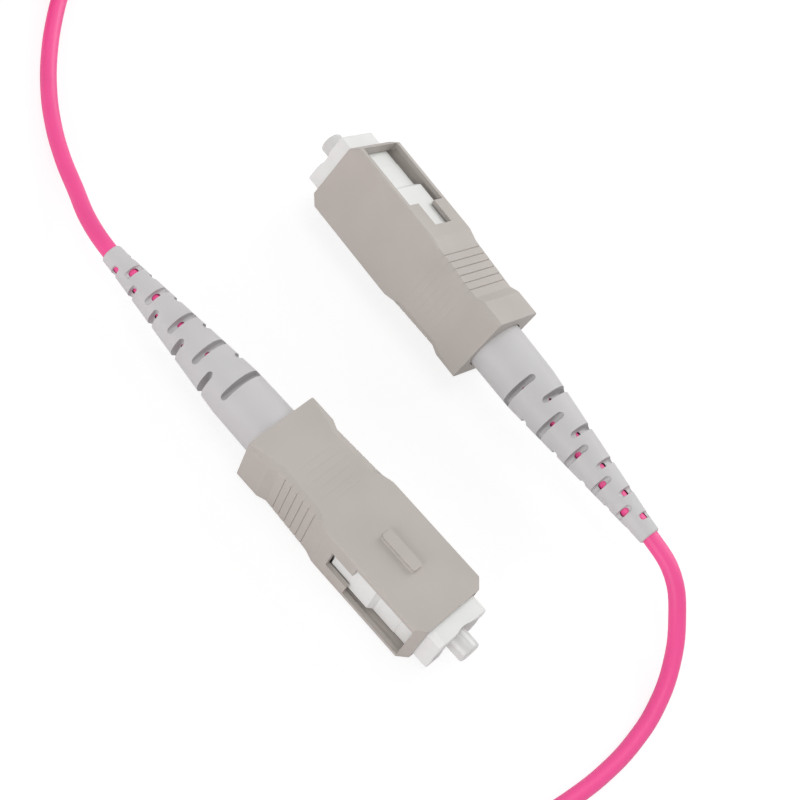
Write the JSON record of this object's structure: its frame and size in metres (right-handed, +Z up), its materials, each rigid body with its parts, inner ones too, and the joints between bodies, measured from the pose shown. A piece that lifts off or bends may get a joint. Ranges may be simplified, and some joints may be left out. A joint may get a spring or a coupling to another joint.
{
  "type": "simplex fibre optic patch cord with square push-pull connectors",
  "caption": "Pink fibre optic patch cord with a beige square push-pull connector, white ferrule and slotted white boot at each end; it joins two optical ports.",
  "frame": {"origin": "On the floor under the middle of the two connectors, between their crossed-over noses.", "axes": "+Z is up from the floor that the cord lies on. Seen from above with +Y away from the viewer, the near connector points to the lower right and the far one to the upper left."},
  "size_m": [0.0929, 0.129, 0.0112],
  "materials": {
    "beige_plastic": "fine satin moulding",
    "white_plastic": "smooth moulding",
    "white_ceramic": null,
    "bright_steel": "plain",
    "plated_brass": "nickel plated",
    "yellow_yarn": "loose aramid yarn",
    "clear_buffer": "smooth",
    "white_rubber": "soft matt moulding",
    "pink_jacket": "smooth extruded jacket",
    "black_strap": "hook and loop"
  },
  "bodies": {
    "cord": {"near_plug_frame": "white_plastic", "near_spring": "bright_steel", "near_stop_body": "plated_brass", "near_crimp_sleeve": "plated_brass", "near_aramid_ring": "yellow_yarn", "near_buffered_fibre": "clear_buffer", "near_boot": "white_rubber", "far_plug_frame": "white_plastic", "far_spring": "bright_steel", "far_stop_body": "plated_brass", "far_crimp_sleeve": "plated_brass", "far_aramid_ring": "yellow_yarn", "far_buffered_fibre": "clear_buffer", "far_boot": "white_rubber", "near_cable": "pink_jacket", "far_cable": "pink_jacket", "cable_coil": "pink_jacket", "coil_tie": "black_strap"},
    "near_grip": {"near_grip": "beige_plastic"},
    "near_ferrule": {"near_ferrule": "white_ceramic", "near_ferrule_flange": "bright_steel"},
    "far_grip": {"far_grip": "beige_plastic"},
    "far_ferrule": {"far_ferrule": "white_ceramic", "far_ferrule_flange": "bright_steel"}
  },
  "joints": [
    {"name": "near_grip_slide", "type": "slide", "parent": "cord", "child": "near_grip", "axis": [0.682, -0.7314, 0], "range_m": [-0.002, 0]},
    {"name": "near_ferrule_slide", "type": "slide", "parent": "cord", "child": "near_ferrule", "axis": [0.682, -0.7314, 0], "range_m": [-0.0015, 0], "stiffness_N_per_m": 2000, "springref_m": 0.004, "deforming": ["near_spring"]},
    {"name": "far_grip_slide", "type": "slide", "parent": "cord", "child": "far_grip", "axis": [-0.617, 0.7869, 0], "range_m": [-0.002, 0]},
    {"name": "far_ferrule_slide", "type": "slide", "parent": "cord", "child": "far_ferrule", "axis": [-0.617, 0.7869, 0], "range_m": [-0.0015, 0], "stiffness_N_per_m": 2000, "springref_m": 0.004, "deforming": ["far_spring"]}
  ]
}
